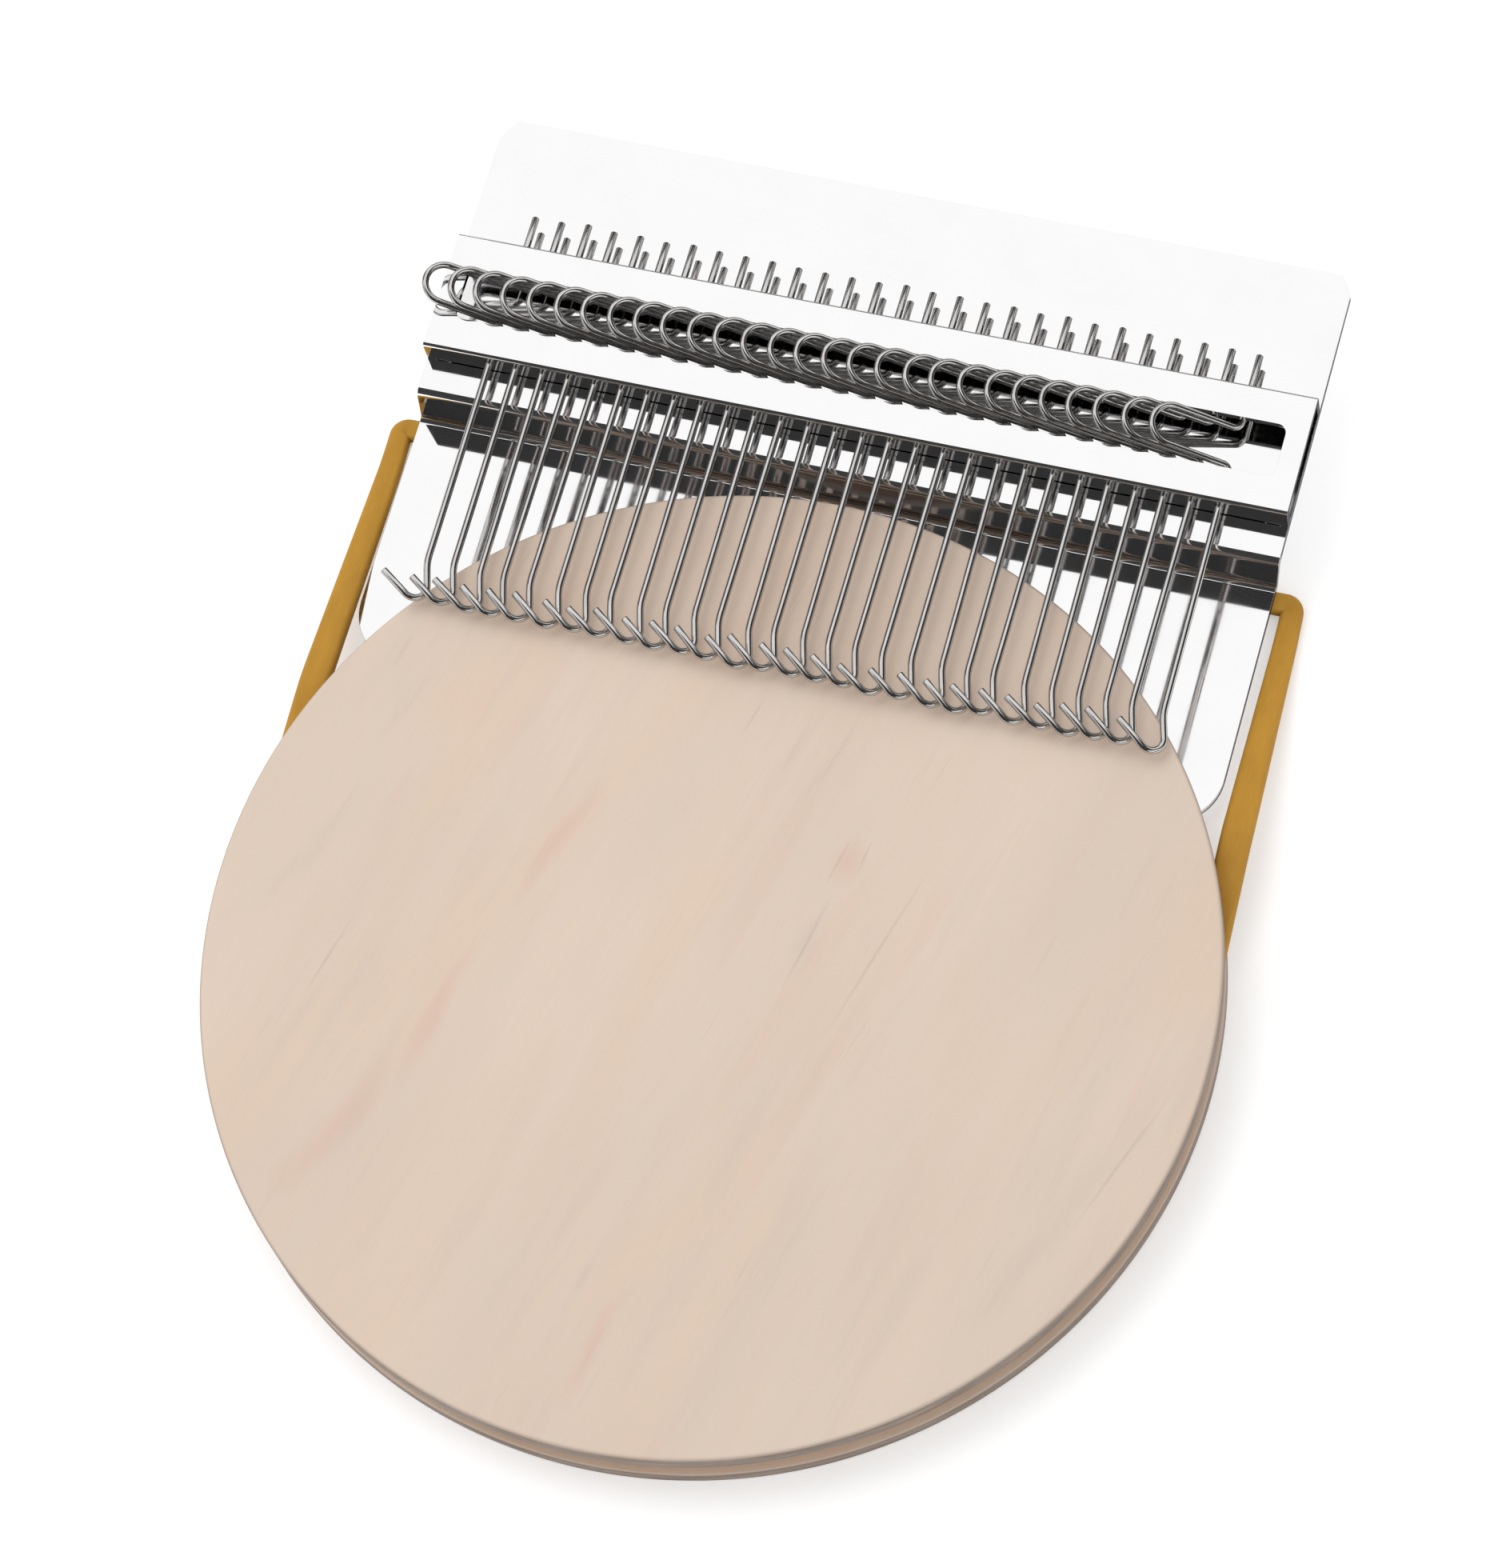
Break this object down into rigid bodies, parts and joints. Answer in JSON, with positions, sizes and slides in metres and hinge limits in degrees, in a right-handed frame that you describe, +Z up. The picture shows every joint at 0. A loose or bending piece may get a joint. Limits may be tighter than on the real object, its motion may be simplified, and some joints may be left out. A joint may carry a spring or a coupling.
{
  "type": "darning loom",
  "caption": "Small hand loom for darning: a grooved wooden disc held by a rubber band on a bent steel head with a row of turning hook wires.",
  "frame": {"origin": "middle of the whole loom on the surface that it lies on", "axes": "+Y along the loom from the disc to the handle plate, +Z up out of the disc's work face, +X to the right, away from the side that the levers lie on"},
  "size_m": [0.07, 0.0946, 0.0099],
  "materials": {
    "plate_steel": "mirror-polished sheet steel",
    "channel_steel": "mirror-polished sheet steel",
    "hook_wire": "bright drawn steel wire",
    "disc_wood": "turned pale hardwood, sanded and sealed",
    "band_rubber": "mustard rubber, matt"
  },
  "bodies": {
    "root": {"base_plate": "plate_steel", "hook_channel": "channel_steel", "wooden_disc": "disc_wood", "rubber_band": "band_rubber"},
    "hook_01": {"hook_01": "hook_wire"},
    "hook_02": {"hook_02": "hook_wire"},
    "hook_03": {"hook_03": "hook_wire"},
    "hook_04": {"hook_04": "hook_wire"},
    "hook_05": {"hook_05": "hook_wire"},
    "hook_06": {"hook_06": "hook_wire"},
    "hook_07": {"hook_07": "hook_wire"},
    "hook_08": {"hook_08": "hook_wire"},
    "hook_09": {"hook_09": "hook_wire"},
    "hook_10": {"hook_10": "hook_wire"},
    "hook_11": {"hook_11": "hook_wire"},
    "hook_12": {"hook_12": "hook_wire"},
    "hook_13": {"hook_13": "hook_wire"},
    "hook_14": {"hook_14": "hook_wire"},
    "hook_15": {"hook_15": "hook_wire"},
    "hook_16": {"hook_16": "hook_wire"},
    "hook_17": {"hook_17": "hook_wire"},
    "hook_18": {"hook_18": "hook_wire"},
    "hook_19": {"hook_19": "hook_wire"},
    "hook_20": {"hook_20": "hook_wire"},
    "hook_21": {"hook_21": "hook_wire"},
    "hook_22": {"hook_22": "hook_wire"},
    "hook_23": {"hook_23": "hook_wire"},
    "hook_24": {"hook_24": "hook_wire"},
    "hook_25": {"hook_25": "hook_wire"},
    "hook_26": {"hook_26": "hook_wire"},
    "hook_27": {"hook_27": "hook_wire"},
    "hook_28": {"hook_28": "hook_wire"}
  },
  "joints": [
    {"name": "hook_01_turn", "type": "hinge", "parent": "root", "child": "hook_01", "pos_m": [-0.02739, 0.03217, 0.0073], "axis": [0, 1, 0], "range_deg": [0, 136]},
    {"name": "hook_02_turn", "type": "hinge", "parent": "root", "child": "hook_02", "pos_m": [-0.02542, 0.03217, 0.0073], "axis": [0, 1, 0], "range_deg": [0, 136]},
    {"name": "hook_03_turn", "type": "hinge", "parent": "root", "child": "hook_03", "pos_m": [-0.02346, 0.03217, 0.0073], "axis": [0, 1, 0], "range_deg": [0, 136]},
    {"name": "hook_04_turn", "type": "hinge", "parent": "root", "child": "hook_04", "pos_m": [-0.02149, 0.03217, 0.0073], "axis": [0, 1, 0], "range_deg": [0, 136]},
    {"name": "hook_05_turn", "type": "hinge", "parent": "root", "child": "hook_05", "pos_m": [-0.01952, 0.03217, 0.0073], "axis": [0, 1, 0], "range_deg": [0, 136]},
    {"name": "hook_06_turn", "type": "hinge", "parent": "root", "child": "hook_06", "pos_m": [-0.01755, 0.03217, 0.0073], "axis": [0, 1, 0], "range_deg": [0, 136]},
    {"name": "hook_07_turn", "type": "hinge", "parent": "root", "child": "hook_07", "pos_m": [-0.01558, 0.03217, 0.0073], "axis": [0, 1, 0], "range_deg": [0, 136]},
    {"name": "hook_08_turn", "type": "hinge", "parent": "root", "child": "hook_08", "pos_m": [-0.01361, 0.03217, 0.0073], "axis": [0, 1, 0], "range_deg": [0, 136]},
    {"name": "hook_09_turn", "type": "hinge", "parent": "root", "child": "hook_09", "pos_m": [-0.01163, 0.03217, 0.0073], "axis": [0, 1, 0], "range_deg": [0, 136]},
    {"name": "hook_10_turn", "type": "hinge", "parent": "root", "child": "hook_10", "pos_m": [-0.00966, 0.03217, 0.0073], "axis": [0, 1, 0], "range_deg": [0, 136]},
    {"name": "hook_11_turn", "type": "hinge", "parent": "root", "child": "hook_11", "pos_m": [-0.00769, 0.03217, 0.0073], "axis": [0, 1, 0], "range_deg": [0, 136]},
    {"name": "hook_12_turn", "type": "hinge", "parent": "root", "child": "hook_12", "pos_m": [-0.00573, 0.03217, 0.0073], "axis": [0, 1, 0], "range_deg": [0, 136]},
    {"name": "hook_13_turn", "type": "hinge", "parent": "root", "child": "hook_13", "pos_m": [-0.00376, 0.03217, 0.0073], "axis": [0, 1, 0], "range_deg": [0, 136]},
    {"name": "hook_14_turn", "type": "hinge", "parent": "root", "child": "hook_14", "pos_m": [-0.00178, 0.03217, 0.0073], "axis": [0, 1, 0], "range_deg": [0, 136]},
    {"name": "hook_15_turn", "type": "hinge", "parent": "root", "child": "hook_15", "pos_m": [0.00018, 0.03217, 0.0073], "axis": [0, 1, 0], "range_deg": [0, 136]},
    {"name": "hook_16_turn", "type": "hinge", "parent": "root", "child": "hook_16", "pos_m": [0.00215, 0.03217, 0.0073], "axis": [0, 1, 0], "range_deg": [0, 136]},
    {"name": "hook_17_turn", "type": "hinge", "parent": "root", "child": "hook_17", "pos_m": [0.00413, 0.03217, 0.0073], "axis": [0, 1, 0], "range_deg": [0, 136]},
    {"name": "hook_18_turn", "type": "hinge", "parent": "root", "child": "hook_18", "pos_m": [0.00609, 0.03217, 0.0073], "axis": [0, 1, 0], "range_deg": [0, 136]},
    {"name": "hook_19_turn", "type": "hinge", "parent": "root", "child": "hook_19", "pos_m": [0.00806, 0.03217, 0.0073], "axis": [0, 1, 0], "range_deg": [0, 136]},
    {"name": "hook_20_turn", "type": "hinge", "parent": "root", "child": "hook_20", "pos_m": [0.01004, 0.03217, 0.0073], "axis": [0, 1, 0], "range_deg": [0, 136]},
    {"name": "hook_21_turn", "type": "hinge", "parent": "root", "child": "hook_21", "pos_m": [0.01201, 0.03217, 0.0073], "axis": [0, 1, 0], "range_deg": [0, 136]},
    {"name": "hook_22_turn", "type": "hinge", "parent": "root", "child": "hook_22", "pos_m": [0.01397, 0.03217, 0.0073], "axis": [0, 1, 0], "range_deg": [0, 136]},
    {"name": "hook_23_turn", "type": "hinge", "parent": "root", "child": "hook_23", "pos_m": [0.01595, 0.03217, 0.0073], "axis": [0, 1, 0], "range_deg": [0, 136]},
    {"name": "hook_24_turn", "type": "hinge", "parent": "root", "child": "hook_24", "pos_m": [0.01792, 0.03217, 0.0073], "axis": [0, 1, 0], "range_deg": [0, 136]},
    {"name": "hook_25_turn", "type": "hinge", "parent": "root", "child": "hook_25", "pos_m": [0.01988, 0.03217, 0.0073], "axis": [0, 1, 0], "range_deg": [0, 136]},
    {"name": "hook_26_turn", "type": "hinge", "parent": "root", "child": "hook_26", "pos_m": [0.02185, 0.03217, 0.0073], "axis": [0, 1, 0], "range_deg": [0, 136]},
    {"name": "hook_27_turn", "type": "hinge", "parent": "root", "child": "hook_27", "pos_m": [0.02382, 0.03217, 0.0073], "axis": [0, 1, 0], "range_deg": [0, 136]},
    {"name": "hook_28_turn", "type": "hinge", "parent": "root", "child": "hook_28", "pos_m": [0.02579, 0.03217, 0.0073], "axis": [0, 1, 0], "range_deg": [0, 136]}
  ],
  "couplings": [
    {"joint": "hook_02_turn", "follows": "hook_01_turn", "ratio": 1},
    {"joint": "hook_03_turn", "follows": "hook_01_turn", "ratio": 1},
    {"joint": "hook_04_turn", "follows": "hook_01_turn", "ratio": 1},
    {"joint": "hook_05_turn", "follows": "hook_01_turn", "ratio": 1},
    {"joint": "hook_06_turn", "follows": "hook_01_turn", "ratio": 1},
    {"joint": "hook_07_turn", "follows": "hook_01_turn", "ratio": 1},
    {"joint": "hook_08_turn", "follows": "hook_01_turn", "ratio": 1},
    {"joint": "hook_09_turn", "follows": "hook_01_turn", "ratio": 1},
    {"joint": "hook_10_turn", "follows": "hook_01_turn", "ratio": 1},
    {"joint": "hook_11_turn", "follows": "hook_01_turn", "ratio": 1},
    {"joint": "hook_12_turn", "follows": "hook_01_turn", "ratio": 1},
    {"joint": "hook_13_turn", "follows": "hook_01_turn", "ratio": 1},
    {"joint": "hook_14_turn", "follows": "hook_01_turn", "ratio": 1},
    {"joint": "hook_15_turn", "follows": "hook_01_turn", "ratio": 1},
    {"joint": "hook_16_turn", "follows": "hook_01_turn", "ratio": 1},
    {"joint": "hook_17_turn", "follows": "hook_01_turn", "ratio": 1},
    {"joint": "hook_18_turn", "follows": "hook_01_turn", "ratio": 1},
    {"joint": "hook_19_turn", "follows": "hook_01_turn", "ratio": 1},
    {"joint": "hook_20_turn", "follows": "hook_01_turn", "ratio": 1},
    {"joint": "hook_21_turn", "follows": "hook_01_turn", "ratio": 1},
    {"joint": "hook_22_turn", "follows": "hook_01_turn", "ratio": 1},
    {"joint": "hook_23_turn", "follows": "hook_01_turn", "ratio": 1},
    {"joint": "hook_24_turn", "follows": "hook_01_turn", "ratio": 1},
    {"joint": "hook_25_turn", "follows": "hook_01_turn", "ratio": 1},
    {"joint": "hook_26_turn", "follows": "hook_01_turn", "ratio": 1},
    {"joint": "hook_27_turn", "follows": "hook_01_turn", "ratio": 1},
    {"joint": "hook_28_turn", "follows": "hook_01_turn", "ratio": 1}
  ]
}
